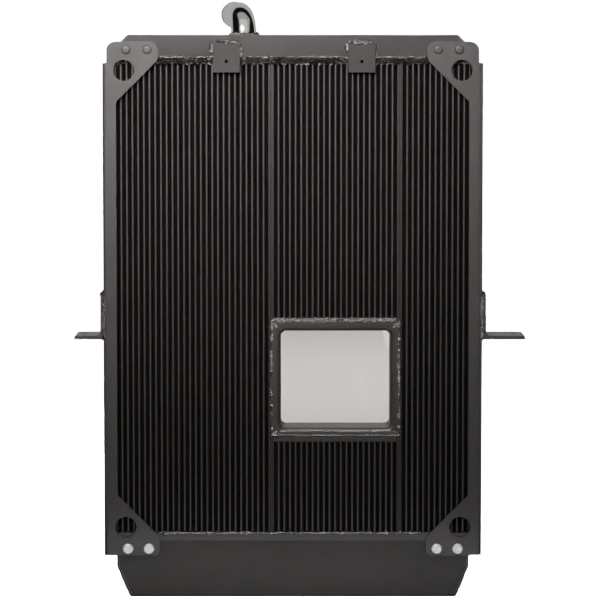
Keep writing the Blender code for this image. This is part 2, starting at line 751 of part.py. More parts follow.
def build_bolts():
    seat = CHANNEL_HALF_DEPTH + GAP
    facing = {"front": (-seat, math.pi / 2), "back": (seat, -math.pi / 2)}
    for level, height, shape, look in (
        ("upper", UPPER_BOLT_Z, dome_bolt_mesh(), BLACK_PAINT),
        ("lower", LOWER_BOLT_Z, flange_bolt_mesh(), ZINC),
    ):
        for face, (y, turn) in facing.items():
            for side_name, side in (("left", -1), ("right", 1)):
                for place, x in (("outer", BOLT_X[0]), ("inner", BOLT_X[1])):
                    bolt = add_part(f"{level}_{side_name}_{face}_{place}_bolt", shape.copy(), look)
                    bolt.location = (side * x, y, height)
                    bolt.rotation_euler = (turn, 0.0, 0.0)
                    smooth(bolt)


def build_mounting_blocks():
    """Blocks inside the tanks' corners, drilled through for a bolt from each face."""
    for level, height, (low_z, high_z) in (
        ("upper", UPPER_BOLT_Z, UPPER_BLOCK_Z),
        ("lower", LOWER_BOLT_Z, LOWER_BLOCK_Z),
    ):
        bores = cylinder_mesh(bolt_places(height), BLOCK_BORE, DRILL_REACH, sides=10)
        drill = add_cutter(f"{level}_block_drill", bores)
        for side_name, side in (("left", -1), ("right", 1)):
            ends = sorted(side * x for x in MOUNT_BLOCK_X)
            low = (ends[0], -BLOCK_HALF_DEPTH, low_z)
            high = (ends[1], BLOCK_HALF_DEPTH, high_z)
            block = add_part(f"{level}_{side_name}_mounting_block", cube_mesh([(low, high)]), BLACK_PAINT)
            boolean(block, drill)


# ------------------------------------------------------------------ pipes
def pipe_mesh(route, bead_at):
    """A hollow pipe of the given route, with one raised hose bead."""
    curve = bpy.data.curves.new("pipe", "CURVE")
    curve.dimensions = "3D"
    curve.bevel_depth = PIPE_RADIUS
    curve.bevel_resolution = 5
    spline = curve.splines.new("POLY")
    spline.points.add(len(route) - 1)
    for index, (point, place) in enumerate(zip(spline.points, route)):
        point.co = (*place, 1.0)
        point.radius = BEAD_SWELL if index == bead_at else 1.0
    guide = bpy.data.objects.new("pipe", curve)
    CUTTERS.objects.link(guide)
    wall = guide.modifiers.new("wall", "SOLIDIFY")
    wall.thickness = PIPE_SHEET
    wall.offset = -1.0
    return converted(guide)


def hose_end(start, direction, length):
    """Points of a straight end with its bead, up to the pipe's open mouth."""
    bead = length - BEAD_FROM_MOUTH
    places = (bead - BEAD_HALF_LENGTH, bead, bead + BEAD_HALF_LENGTH, length)
    return [start + direction * place for place in places]


def build_inlet_pipe():
    yaw = math.radians(INLET_YAW)
    heading = Vector((-math.sin(yaw), math.cos(yaw), 0.0))
    foot = Vector((INLET_X, INLET_Y, TOP_TANK_TOP - TANK_SHEET))
    bend_start = ELBOW_TOP - ELBOW_RADIUS
    route = [foot]
    for out, up in arc((ELBOW_RADIUS, 0.0), ELBOW_RADIUS, 180, 90, 8):
        route.append(Vector((INLET_X, INLET_Y, bend_start + up)) + heading * out)
    route += hose_end(route[-1], heading, INLET_LEG)
    smooth(add_part("inlet_pipe", pipe_mesh(route, len(route) - 3), CHROME), 40)


def build_outlet_pipe():
    back = Vector((0.0, 1.0, 0.0))
    start = Vector((OUTLET_X, TANK_HALF_DEPTH - TANK_SHEET, OUTLET_Z))
    route = [start] + hose_end(start, back, OUTLET_END - start.y)
    smooth(add_part("outlet_pipe", pipe_mesh(route, len(route) - 3), CHROME), 40)


# ------------------------------------------------------------------ drain
def facing_back(part, y):
    part.location = (DRAIN_X, y, DRAIN_Z)
    part.rotation_euler = (-math.pi / 2, 0.0, 0.0)


def build_bung():
    """A threaded ring welded into the tank's back wall."""
    inside = TANK_HALF_DEPTH - TANK_SHEET
    depth = BUNG_BACK - inside
    ring = [
        (BUNG_RADIUS, depth), (BUNG_RADIUS, 0.0), (BUNG_BORE, 0.0), (BUNG_BORE, depth), (BUNG_RADIUS, depth),
    ]
    bung = add_part("drain_bung", turned_mesh(ring, 16), BLACK_PAINT)
    facing_back(bung, inside)
    smooth(bung)


def build_cock():
    """A brass cock screwed into the bung, with a spout that points down."""
    base = BUNG_BACK + GAP
    stub = [(0.0, GAP), (COCK_STUB, GAP), (COCK_STUB, -SPINDLE_LENGTH), (0.0, -SPINDLE_LENGTH)]
    cock = add_part("drain_cock_body", turned_mesh(stub, 16), BRASS)
    facing_back(cock, base)
    smooth(cock)
    end = base + COCK_LENGTH
    nut_half = COCK_NUT_LENGTH / 2
    barrel_half = (COCK_LENGTH - nut_half) / 2
    spout_y = base + SPOUT_BACK
    for name, shape, operation in (
        ("cock_nut", ((0.0, base + nut_half, 0.0), COCK_NUT, nut_half, "Y", 6), "UNION"),
        ("cock_barrel", ((0.0, end - barrel_half, 0.0), COCK_BARREL, barrel_half, "Y", 16), "UNION"),
        ("cock_spout", ((0.0, spout_y, -SPOUT_DROP), SPOUT, SPOUT_HALF_LENGTH, "Z", 12), "UNION"),
        ("cock_bore", ((0.0, end, 0.0), COCK_BORE, BEYOND, "Y", 16), "DIFFERENCE"),
        ("cock_nozzle", ((0.0, spout_y, -2 * SPOUT_DROP), SPINDLE, NOZZLE_REACH, "Z", 10), "DIFFERENCE"),
    ):
        (x, y, z), radius, half_length, axis, sides = shape
        place = (DRAIN_X + x, y, DRAIN_Z + z)
        tool = cylinder_mesh([place], radius, half_length, axis, sides)
        boolean(cock, add_cutter(name, tool), operation)


def build_drain_handle():
    """A lever on a spindle, which turns a quarter turn about the cock's axis."""
    base = BUNG_BACK + COCK_LENGTH + 2 * GAP
    stem = [
        (0.0, HUB_HEIGHT), (HUB, HUB_HEIGHT), (HUB, 0.0), (SPINDLE, 0.0),
        (SPINDLE, -SPINDLE_LENGTH), (0.0, -SPINDLE_LENGTH),
    ]
    handle = add_part("drain_cock_handle", turned_mesh(stem, 16), BRASS)
    facing_back(handle, base)
    smooth(handle)
    lever = rounded_rectangle((DRAIN_X, DRAIN_Z), LEVER_LENGTH, LEVER_WIDTH, LEVER_WIDTH / 2 - GAP / 2)
    lever_mesh = sheet_mesh([lever], base + LEVER_LOW, base + LEVER_HIGH)
    boolean(handle, add_cutter("handle_lever", lever_mesh), "UNION")


# ------------------------------------------------------------------ assembly
clear_scene()
window_left, window_right = build_core()
build_window(window_left, window_right)
build_top_tank()
build_bottom_tank()
build_collars()
build_channels()
build_brackets()
build_tabs()
build_bolts()
build_mounting_blocks()
build_inlet_pipe()
build_outlet_pipe()
build_bung()
build_cock()
build_drain_handle()
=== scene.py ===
"""The looks of a heavy-duty radiator with a window through its core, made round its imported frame.

Metres, +Z up, +X to the right seen from the front, +Y to the back. Places come from the frame's nodes.
"""

import json
import math

import bmesh
import bpy
from mathutils import Matrix, Vector, noise

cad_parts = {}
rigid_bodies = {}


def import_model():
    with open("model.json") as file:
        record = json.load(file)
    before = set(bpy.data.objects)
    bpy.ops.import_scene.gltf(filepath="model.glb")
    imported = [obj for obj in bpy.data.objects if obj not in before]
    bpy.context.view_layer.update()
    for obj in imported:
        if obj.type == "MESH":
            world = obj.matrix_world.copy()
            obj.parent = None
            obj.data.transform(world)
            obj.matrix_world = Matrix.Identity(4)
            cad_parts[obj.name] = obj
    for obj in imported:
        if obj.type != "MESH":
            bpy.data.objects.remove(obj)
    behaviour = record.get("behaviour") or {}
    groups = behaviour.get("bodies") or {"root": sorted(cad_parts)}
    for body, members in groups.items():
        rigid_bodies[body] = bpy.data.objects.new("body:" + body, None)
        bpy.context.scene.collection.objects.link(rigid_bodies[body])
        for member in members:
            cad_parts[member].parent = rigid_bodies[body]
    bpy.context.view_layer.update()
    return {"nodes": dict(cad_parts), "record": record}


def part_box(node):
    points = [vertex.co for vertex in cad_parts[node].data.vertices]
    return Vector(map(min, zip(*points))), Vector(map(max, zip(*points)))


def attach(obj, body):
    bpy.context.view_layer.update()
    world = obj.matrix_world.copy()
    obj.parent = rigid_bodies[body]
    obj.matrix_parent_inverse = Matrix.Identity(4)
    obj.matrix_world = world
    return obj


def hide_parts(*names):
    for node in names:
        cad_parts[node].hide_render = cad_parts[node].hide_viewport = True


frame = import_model()

BODY = "radiator"

# Core, as the frame's nodes have it
PITCH = 0.01188
TUBE_WIDTH = 0.0042
TUBE_NOSE = 0.0012
ROW_HALF_GAP = 0.003
FIN_CLEARANCE = 0.0004
FIN_HALF_PERIOD = 0.00218
FIN_SHEET = 0.00024
FIN_WAVE = 0.0050
FIN_CROWDING = 0.2
FIN_BRAZED = 0.00003
BLOCKS = ("left", "upper_middle", "lower_middle", "right")

# Pipes, as the frame's nodes have them
PIPE_RADIUS = 0.027
PIPE_SHEET = 0.002
PIPE_SIDES = 56
BEAD_SWELL = 0.0016
BEAD_HALF_LENGTH = 0.0026
BEAD_FROM_MOUTH = 0.010
INLET_FOOT = Vector((-0.1027, 0.004, 1.1762))
ELBOW_RADIUS = 0.041
ELBOW_TOP = 1.2225
INLET_YAW = math.radians(16.5)
INLET_LEG = 0.044
OUTLET_START = Vector((0.232, 0.0409, 0.062))
OUTLET_LENGTH = 0.0711

# Tanks, window and gaps, as the frame's nodes have them
GAP = 0.0003
TANK_SHEET = 0.0048
TOP_TANK_CHAMFER = 0.026
BOTTOM_TANK_SLOPE_TOP = 0.0655
BOTTOM_TANK_FOOT = 0.3423
WINDOW_FLARE = 0.0070

# Weld beads. Grains are noise scales per metre.
BEAD_STEP = 0.0008
BEAD_SIDES = 9
SUNK = 0.0008
WIDTH_GRAIN = 170
SLOW_GRAIN = 60
LUMP_GRAIN = 700
LUMP_SHARE = 0.28
CRESCENT_LAG = 0.45
CRESCENT_FALL = 0.42
UP_TO_GUSSET = 0.281  # half the length of a bead that ends at the gussets
WHOLE_HEADER = 0.366  # half the length of a bead that runs on behind the gussets
MITRE_START = 0.2
MITRE_OVERRUN = 0.004

FRONT = Vector((0, -1, 0))
BACK = Vector((0, 1, 0))
UP = Vector((0, 0, 1))
DOWN = Vector((0, 0, -1))
RIGHT = Vector((1, 0, 0))

scene = bpy.context.scene


# ------------------------------------------------------------------ materials
def new_material(name, colour, roughness, metallic=0.0):
    """A material, its node tree and its Principled shader, with the plain values set."""
    material = bpy.data.materials.new(name)
    material.use_nodes = True
    tree = material.node_tree
    shader = tree.nodes["Principled BSDF"]
    shader.inputs["Base Color"].default_value = (*colour, 1.0)
    shader.inputs["Roughness"].default_value = roughness
    shader.inputs["Metallic"].default_value = metallic
    return material, tree, shader


def grain(tree, scale, detail=3.0, stretch=(1, 1, 1)):
    """A noise pattern fixed to the object, as a value from 0 to 1."""
    place = tree.nodes.new("ShaderNodeTexCoord")
    mapping = tree.nodes.new("ShaderNodeMapping")
    mapping.inputs["Scale"].default_value = stretch
    pattern = tree.nodes.new("ShaderNodeTexNoise")
    pattern.inputs["Scale"].default_value = scale
    pattern.inputs["Detail"].default_value = detail
    tree.links.new(place.outputs["Object"], mapping.inputs["Vector"])
    tree.links.new(mapping.outputs["Vector"], pattern.inputs["Vector"])
    return pattern.outputs["Fac"]


def blend_colours(tree, value, low, high, dark, light):
    """A colour that runs from dark to light as the value goes from low to high."""
    ramp = tree.nodes.new("ShaderNodeValToRGB")
    first, last = ramp.color_ramp.elements
    first.position, last.position = low, high
    first.color, last.color = (*dark, 1.0), (*light, 1.0)
    tree.links.new(value, ramp.inputs["Fac"])
    return ramp.outputs["Color"]


def spread(tree, value, low, high):
    """The middle of a noise pattern stretched over a range."""
    node = tree.nodes.new("ShaderNodeMapRange")
    node.inputs["From Min"].default_value = 0.3
    node.inputs["From Max"].default_value = 0.7
    node.inputs["To Min"].default_value = low
    node.inputs["To Max"].default_value = high
    tree.links.new(value, node.inputs["Value"])
    return node.outputs["Result"]


def bumps(tree, shader, layers):
    """Chains bump nodes, each from (pattern, depth in metres), into the shader's normal."""
    normal = None
    for value, depth in layers:
        node = tree.nodes.new("ShaderNodeBump")
        node.inputs["Distance"].default_value = depth
        tree.links.new(value, node.inputs["Height"])
        if normal is not None:
            tree.links.new(normal, node.inputs["Normal"])
        normal = node.outputs["Normal"]
    tree.links.new(normal, shader.inputs["Normal"])


def paint(name, dark, light, gloss, peel=0.00006, shine=0.5):
    """Black paint: cloudy colour, uneven gloss, orange peel and slightly wavy sheet."""
    middle = [(a + b) / 2 for a, b in zip(dark, light)]
    material, tree, shader = new_material(name, middle, sum(gloss) / 2)
    shader.inputs["Specular IOR Level"].default_value = shine
    cloud = grain(tree, 14, 5.0)
    tree.links.new(blend_colours(tree, cloud, 0.3, 0.7, dark, light), shader.inputs["Base Color"])
    tree.links.new(spread(tree, grain(tree, 60, 4.0), *gloss), shader.inputs["Roughness"])
    bumps(tree, shader, [(grain(tree, 9, 1.0), 0.0012), (grain(tree, 520, 2.0), peel)])
    return material


def weld_paint(name, dark, light, gloss, ior):
    """Paint over a weld: glossier, with fine lumps."""
    material, tree, shader = new_material(name, light, sum(gloss) / 2)
    shader.inputs["IOR"].default_value = ior
    soot = grain(tree, 170, 4.0)
    tree.links.new(blend_colours(tree, soot, 0.35, 0.65, dark, light), shader.inputs["Base Color"])
    tree.links.new(spread(tree, grain(tree, 260, 3.0), *gloss), shader.inputs["Roughness"])
    bumps(tree, shader, [(grain(tree, 300, 2.0), 0.0050), (grain(tree, 640, 2.0), 0.0014)])
    return material


def fin_paint():
    """Thin matt paint on fins, with patches of dust."""
    material, tree, shader = new_material("fin_black", (0.005, 0.0045, 0.0045), 0.7)
    shader.inputs["Specular IOR Level"].default_value = 0.2
    dust = grain(tree, 120, 3.0)
    colour = blend_colours(tree, dust, 0.4, 0.75, (0.008, 0.0072, 0.0070), (0.022, 0.0200, 0.0190))
    tree.links.new(colour, shader.inputs["Base Color"])
    tree.links.new(spread(tree, dust, 0.6, 0.8), shader.inputs["Roughness"])
    return material


def zinc():
    """Satin zinc plate with a faint crystalline cloud."""
    material, tree, shader = new_material("zinc_plate", (0.86, 0.88, 0.90), 0.34, 0.72)
    cloud = grain(tree, 240, 4.0)
    colour = blend_colours(tree, cloud, 0.3, 0.7, (0.80, 0.82, 0.85), (0.93, 0.94, 0.95))
    tree.links.new(colour, shader.inputs["Base Color"])
    tree.links.new(spread(tree, grain(tree, 420, 3.0), 0.30, 0.44), shader.inputs["Roughness"])
    bumps(tree, shader, [(grain(tree, 900, 3.0), 0.00005)])
    return material


def plated_tube():
    """Polished plated steel, slightly wavy, with a little haze."""
    material, tree, shader = new_material("polished_tube", (0.80, 0.785, 0.76), 0.10, 1.0)
    haze = grain(tree, 55, 4.0)
    colour = blend_colours(tree, haze, 0.3, 0.7, (0.74, 0.725, 0.70), (0.84, 0.83, 0.81))
    tree.links.new(colour, shader.inputs["Base Color"])
    tree.links.new(spread(tree, haze, 0.06, 0.13), shader.inputs["Roughness"])
    bumps(tree, shader, [(grain(tree, 38, 2.0), 0.0004), (grain(tree, 700, 2.0), 0.00001)])
    return material


def machined(name, colour, roughness):
    """Turned or milled bare metal: fine cutter lines square to Z and a cloudy tint."""
    material, tree, shader = new_material(name, colour, roughness, 1.0)
    darker = [0.82 * part for part in colour]
    cloud = grain(tree, 90, 4.0)
    tree.links.new(blend_colours(tree, cloud, 0.3, 0.7, darker, colour), shader.inputs["Base Color"])
    tree.links.new(
        spread(tree, grain(tree, 200, 3.0), roughness - 0.06, roughness + 0.08), shader.inputs["Roughness"]
    )
    bumps(tree, shader, [(grain(tree, 300, 2.0, (1, 1, 8)), 0.00004)])
    return material


BLACK = paint("black_sheet", (0.0235, 0.0215, 0.0210), (0.0285, 0.0265, 0.0258), (0.40, 0.50))
CORE_BLACK = paint("core_black", (0.0230, 0.0215, 0.0205), (0.0300, 0.0280, 0.0270), (0.42, 0.56), 0.00016)
# The black paint made darker for the tanks, tabs and plates: painted shade, so these faces read darker than
# the channels under the same lamps.
PAINTED_SHADE_BLACK = paint("painted_shade_black", (0.0175, 0.0160, 0.0155), (0.0215, 0.0198, 0.0190), (0.42, 0.52), shine=0.28)
WELD_BLACK = weld_paint("weld_black", (0.003, 0.0026, 0.0023), (0.012, 0.011, 0.010), (0.03, 0.10), 1.75)
BAND_BLACK = weld_paint(
    "weld_band_black", (0.002, 0.0018, 0.0016), (0.012, 0.0108, 0.0095), (0.14, 0.34), 1.45
)
FIN_BLACK = fin_paint()
ZINC = zinc()
TUBE_METAL = plated_tube()
BRASS = machined("turned_brass", (0.66, 0.47, 0.20), 0.34)
ALUMINIUM = machined("milled_aluminium", (0.72, 0.73, 0.74), 0.36)


# ------------------------------------------------------------------ pieces
def smooth_by_angle(angle):
    """A node group that shades faces smooth and keeps edges sharper than an angle."""
    group = bpy.data.node_groups.new("smooth_by_angle", "GeometryNodeTree")
    group.interface.new_socket("Geometry", in_out="INPUT", socket_type="NodeSocketGeometry")
    group.interface.new_socket("Geometry", in_out="OUTPUT", socket_type="NodeSocketGeometry")
    start = group.nodes.new("NodeGroupInput")
    end = group.nodes.new("NodeGroupOutput")
    faces = group.nodes.new("GeometryNodeSetShadeSmooth")
    edges = group.nodes.new("GeometryNodeSetShadeSmooth")
    edges.domain = "EDGE"
    fold = group.nodes.new("GeometryNodeInputMeshEdgeAngle")
    sharp = group.nodes.new("FunctionNodeCompare")
    sharp.operation = "GREATER_THAN"
    sharp.inputs["B"].default_value = angle
    edges.inputs["Shade Smooth"].default_value = False
    group.links.new(start.outputs["Geometry"], faces.inputs["Geometry"])
    group.links.new(faces.outputs["Geometry"], edges.inputs["Geometry"])
    group.links.new(fold.outputs["Unsigned Angle"], sharp.inputs["A"])
    group.links.new(sharp.outputs["Result"], edges.inputs["Selection"])
    group.links.new(edges.outputs["Geometry"], end.inputs["Geometry"])
    return group


SMOOTHER = smooth_by_angle(math.radians(38))


def dress(node, material, edge):
    """Gives a CAD node its material, rounded edges and clean shading."""
    obj = frame["nodes"][node]
    for holder in obj.material_slots:
        holder.material = material
    weld = obj.modifiers.new("weld", "WELD")
    weld.merge_threshold = 0.00001
    rounding = obj.modifiers.new("edges", "BEVEL")
    rounding.width = edge
    rounding.segments = 2
    rounding.limit_method = "ANGLE"
    rounding.angle_limit = math.radians(40)
    obj.modifiers.new("shading", "NODES").node_group = SMOOTHER
    normals = obj.modifiers.new("flat", "WEIGHTED_NORMAL")
    normals.keep_sharp = True


def add_piece(name, mesh, material, replaced=(), angle=38):
    """A new piece of the object, which rides on the radiator."""
    mesh.name = name
    mesh.materials.append(material)
    mesh.shade_smooth()
    mesh.set_sharp_from_angle(angle=math.radians(angle))
    obj = bpy.data.objects.new(name, mesh)
    scene.collection.objects.link(obj)
    if replaced:
        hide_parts(*replaced)
    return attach(obj, BODY)


def finished(bm):
    """The mesh of a BMesh, with its faces pointing out."""
    bmesh.ops.recalc_face_normals(bm, faces=bm.faces)
    mesh = bpy.data.meshes.new("piece")
    bm.to_mesh(mesh)
    bm.free()
    return mesh


def bridge(bm, rings, closed=False):
    """Faces between successive equal rings of vertices; closed joins the last to the first."""
    following = rings[1:] + (rings[:1] if closed else [])
    for ring, after in zip(rings, following):
        for i in range(len(ring)):
            j = (i + 1) % len(ring)
            bm.faces.new((ring[i], ring[j], after[j], after[i]))


def loft(bm, loops):
    """A skin through equal loops of points, capped at both ends."""
    rings = [[bm.verts.new(point) for point in loop] for loop in loops]
    bridge(bm, rings)
    bm.faces.new(rings[0])
    bm.faces.new(rings[-1])


def arc(centre, radius, start, end, steps):
    """Points of an arc between two angles in degrees."""
    points = []
    for step in range(steps + 1):
        angle = math.radians(start + (end - start) * step / steps)
        points.append((centre[0] + radius * math.cos(angle), centre[1] + radius * math.sin(angle)))
    return points


def rounded_rectangle(half_u, half_v, radius, steps=3):
    """The outline of a rectangle with arcs for corners."""
    points = []
    for turn, (side_u, side_v) in enumerate(((1, 1), (-1, 1), (-1, -1), (1, -1))):
        corner = (side_u * (half_u - radius), side_v * (half_v - radius))
        points += arc(corner, radius, 90 * turn, 90 * turn + 90, steps)
    return points


# ------------------------------------------------------------------ core
def block_layout(name):
    """Tube centres, and the low and high corners of the block's tubes and fins nodes."""
    low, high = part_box(f"{name}_tubes")
    fins_low, fins_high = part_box(f"{name}_fins")
    count = round((high.x - low.x + TUBE_WIDTH) / PITCH) - 1
    middle = (low.x + high.x) / 2
    centres = [middle + (i - (count - 1) / 2) * PITCH for i in range(count)]
    return centres, low, high, fins_low, fins_high


def build_tubes(name):
    """Flat tubes with rounded noses in two rows, between two bars."""
    centres, low, high, fins_low, fins_high = block_layout(name)
    bm = bmesh.new()
    row_half = (high.y - ROW_HALF_GAP) / 2
    section = rounded_rectangle(TUBE_WIDTH / 2, row_half, TUBE_NOSE)
    for x in centres:
        for side in (-1, 1):
            y = side * (ROW_HALF_GAP + row_half)
            loops = []
            for z in (fins_low.z - SUNK, fins_high.z + SUNK):
                loops.append([(x + u, y + v, z) for u, v in section])
            loft(bm, loops)
    for low_z, high_z in ((low.z, fins_low.z), (fins_high.z, high.z)):
        half_z = (high_z - low_z) / 2
        outline = rounded_rectangle(high.y, half_z, TUBE_NOSE)
        loops = []
        for x in (low.x, high.x):
            loops.append([(x, u, (low_z + high_z) / 2 + v) for u, v in outline])
        loft(bm, loops)
    add_piece(f"{name}_tube_bank", finished(bm), CORE_BLACK, [f"{name}_tubes"])


def build_fins(name):
    """Corrugated strips, one between each two tubes and one outside the first and the last.

    A strip is bent along its middle, as a wavy fin is, so no light passes straight through it.
    """
    centres, _, _, low, high = block_layout(name)
    half = (PITCH - TUBE_WIDTH) / 2 + FIN_BRAZED
    bottom, top = low.z + FIN_CLEARANCE, high.z - FIN_CLEARANCE
    count = round((top - bottom) / FIN_HALF_PERIOD)
    middles = [x - PITCH / 2 for x in centres] + [centres[-1] + PITCH / 2]
    front, centre, back = low.y, (low.y + high.y) / 2, high.y
    under, over = -FIN_SHEET / 2, FIN_SHEET / 2
    bm = bmesh.new()
    for column, x in enumerate(middles):
        loops = []
        for i in range(count + 1):
            side = x + (half if (i + column) % 2 else -half)
            z = bottom + i * (top - bottom) / count
            crest = min(z + FIN_WAVE, top - (top - z) * FIN_CROWDING)
            loops.append([
                (side, front, z + under),
                (side, front, z + over),
                (side, centre, crest + over),
                (side, back, z + over),
                (side, back, z + under),
                (side, centre, crest + under),
            ])
        loft(bm, loops)
    add_piece(f"{name}_fin_strips", finished(bm), FIN_BLACK, [f"{name}_fins"], angle=10)


# ------------------------------------------------------------------ weld beads
def straight(start, end):
    """Evenly spaced points of a straight run."""
    start, end = Vector(start), Vector(end)
    count = max(2, round((end - start).length / BEAD_STEP))
    return [start.lerp(end, i / count) for i in range(count + 1)]


def polyline(corners):
    """Evenly spaced points along straight runs from corner to corner."""
    points = []
    for start, end in zip(corners, corners[1:]):
        points += straight(start, end)[: None if end == corners[-1] else -1]
    return points


def circle_points(centre, u, v, radius):
    """Evenly spaced points round a circle in the plane of u and v."""
    count = round(2 * math.pi * radius / BEAD_STEP)
    points = []
    for i in range(count):
        angle = 2 * math.pi * i / count
        points.append(Vector(centre) + radius * (u * math.cos(angle) + v * math.sin(angle)))
    return points


def lay_bead(bm, points, out, width, height, seed, ripple, rough, closed=False):
    """One weld bead along points: overlapping crescents of uneven size, standing out from a surface.

    out is the direction away from the surface, or a function that gives it at a point.
    """
    shift = Vector((seed * 7.31, seed * 3.17, seed * 1.93))
    rings = []
    travelled = 0.0
    total = len(points) * BEAD_STEP
    for index, point in enumerate(points):
        before = points[index - 1] if index or closed else point
        after = points[(index + 1) % len(points)] if index + 1 < len(points) or closed else point
        along = (after - before).normalized()
        normal = (out(point) if callable(out) else Vector(out)).normalized()
        across = along.cross(normal).normalized()
        normal = across.cross(along)
        travelled += BEAD_STEP
        swell = 1 + rough * noise.noise(point * WIDTH_GRAIN + shift)
        swell += 0.5 * rough * noise.noise(point * SLOW_GRAIN - shift)
        taper = 1.0
        if not closed:
            reach = min(travelled, total - travelled)
            taper = math.sqrt(max(0.05, min(1.0, reach / width)))
        ring = []
        for k in range(BEAD_SIDES):
            angle = math.pi * k / (BEAD_SIDES - 1)
            rise = math.sin(angle)
            lag = CRESCENT_LAG * width * (1 - rise)
            beat = ((travelled + lag) / ripple) % 1.0
            pitted = noise.noise(point * LUMP_GRAIN + shift * (k + 1))
            lump = 1 - CRESCENT_FALL * beat + LUMP_SHARE * rough * pitted
            u = math.cos(angle) * width / 2 * swell * taper * (0.90 + 0.10 * lump)
            v = rise * height * swell * taper * lump
            ring.append(point + across * u + normal * v)
        ring.append(ring[-1] - normal * SUNK)
        ring.append(ring[0] - normal * SUNK)
        rings.append([bm.verts.new(place) for place in ring])
    bridge(bm, rings, closed)
    if not closed:
        bm.faces.new(rings[0])
        bm.faces.new(rings[-1])


def weld_piece(name, runs, material=WELD_BLACK):
    """One piece of several beads, each given as (points, out, width, height, options)."""
    bm = bmesh.new()
    for seed, (points, out, width, height, options) in enumerate(runs):
        lay_bead(bm, points, out, width, height, seed + len(name), **options)
    add_piece(name, finished(bm), material, angle=70)


def leaning(*parts):
    """A direction from (weight, direction) pairs."""
    total = Vector()
    for weight, direction in parts:
        total += weight * direction
    return total.normalized()


def build_header_welds():
    """The wide fillets over the headers and the narrow beads along the tanks' edges, both faces."""
    top_low, top_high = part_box("top_header_collar")
    bottom_low, bottom_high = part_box("bottom_header_collar")
    tank_low, tank_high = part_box("top_tank")
    wide = top_high.z - top_low.z
    for face, out, side in (("front", FRONT, -1), ("back", BACK, 1)):
        band_y = side * (top_high.y - GAP)
        band_z = (top_low.z + top_high.z) / 2
        edge_y = side * (tank_high.y - 0.0006)
        edge_z = tank_low.z + 0.0014
        runs = [(
            straight((-WHOLE_HEADER, band_y, band_z), (WHOLE_HEADER, band_y, band_z)),
            out, wide, 0.0026, {"ripple": 0.0060, "rough": 0.9},
        )]
        weld_piece(f"top_header_band_{face}", runs, BAND_BLACK)
        runs = [(
            straight((-UP_TO_GUSSET, edge_y, edge_z), (UP_TO_GUSSET, edge_y, edge_z)),
            leaning((1, out), (0.35, UP)), 0.0046, 0.0022, {"ripple": 0.0052, "rough": 1.0},
        )]
        weld_piece(f"top_header_weld_{face}", runs)
        lip_y = side * (bottom_high.y - 0.0012)
        lip_z = bottom_high.z - 0.0004
        seam_y = side * (bottom_high.y - 0.0002)
        runs = [
            (
                straight((-UP_TO_GUSSET, lip_y, lip_z), (UP_TO_GUSSET, lip_y, lip_z)),
                leaning((1, out), (0.8, UP)), 0.0052, 0.0024, {"ripple": 0.0062, "rough": 1.1},
            ),
            (
                straight((-WHOLE_HEADER, seam_y, bottom_low.z), (WHOLE_HEADER, seam_y, bottom_low.z)),
                out, 0.0040, 0.0005, {"ripple": 0.0050, "rough": 0.4},
            ),
        ]
        weld_piece(f"bottom_header_weld_{face}", runs[:1])
        weld_piece(f"bottom_header_seam_{face}", runs[1:], BLACK)


def build_window_welds():
    """Beads round the window's two frame plates, along their mitred corners and over the sill."""
    for face, out, side in (("front", FRONT, -1), ("back", BACK, 1)):
        low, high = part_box(f"window_{face}_plate")
        block_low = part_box("upper_middle_tubes")[0].z
        skin = low.y if face == "front" else high.y
        y = skin - side * 0.0022
        left, right = low.x, high.x
        top = (high.z + block_low) / 2 + 0.0030
        bottom = low.z - 0.0006
        runs = [
            (
                straight((left, y, top), (right, y, top)),
                leaning((1, out), (0.35, UP)), 0.0092, 0.0036, {"ripple": 0.0066, "rough": 1.1},
            ),
            (
                straight((left, y, bottom), (right, y, bottom)),
                leaning((1, out), (0.5, UP)), 0.0062, 0.0028, {"ripple": 0.0062, "rough": 1.2},
            ),
            (
                straight((left + 0.001, y, bottom), (left + 0.001, y, top)),
                leaning((1, out), (-0.4, RIGHT)), 0.0054, 0.0028, {"ripple": 0.0060, "rough": 1.0},
            ),
            (
                straight((right - 0.001, y, bottom), (right - 0.001, y, top)),
                leaning((1, out), (0.4, RIGHT)), 0.0058, 0.0029, {"ripple": 0.0062, "rough": 1.0},
            ),
        ]
        sleeve_low, sleeve_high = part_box("window_sleeve")
        for x, inner_x in ((left, sleeve_low.x), (right, sleeve_high.x)):
            for z, inner_z in ((high.z, sleeve_high.z), (low.z, sleeve_low.z)):
                outer, inner = Vector((x, skin, z)), Vector((inner_x, skin, inner_z))
                mitre = straight(outer.lerp(inner, MITRE_START), inner.lerp(outer, -MITRE_OVERRUN))
                runs.append((mitre, out, 0.0064, 0.0012, {"ripple": 0.0050, "rough": 0.9}))
        lip = [Vector((x, skin, sleeve_low.z)) for x in (sleeve_low.x + 0.004, sleeve_high.x - 0.004)]
        runs.append((straight(*lip), out, 0.0050, 0.0014, {"ripple": 0.0140, "rough": 0.35}))
        weld_piece(f"window_weld_{face}", runs)


def build_window_corners():
    """Weld laid along the four inner corners of the sleeve, which cuts them off square to the diagonal."""
    low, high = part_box("window_sleeve")
    reach = 0.0034
    runs = []
    for x, side_x in ((low.x + WINDOW_FLARE, 1), (high.x - WINDOW_FLARE, -1)):
        for z, side_z in ((low.z + WINDOW_FLARE, 1), (high.z - WINDOW_FLARE, -1)):
            out = Vector((side_x, 0, side_z)).normalized()
            corner = Vector((x, 0, z)) + out * reach
            front, back = corner.copy(), corner.copy()
            front.y, back.y = low.y + 0.004, high.y - 0.004
            runs.append((straight(front, back), out, 0.0128, 0.0024, {"ripple": 0.0040, "rough": 0.5}))
    weld_piece("window_corner_weld", runs)


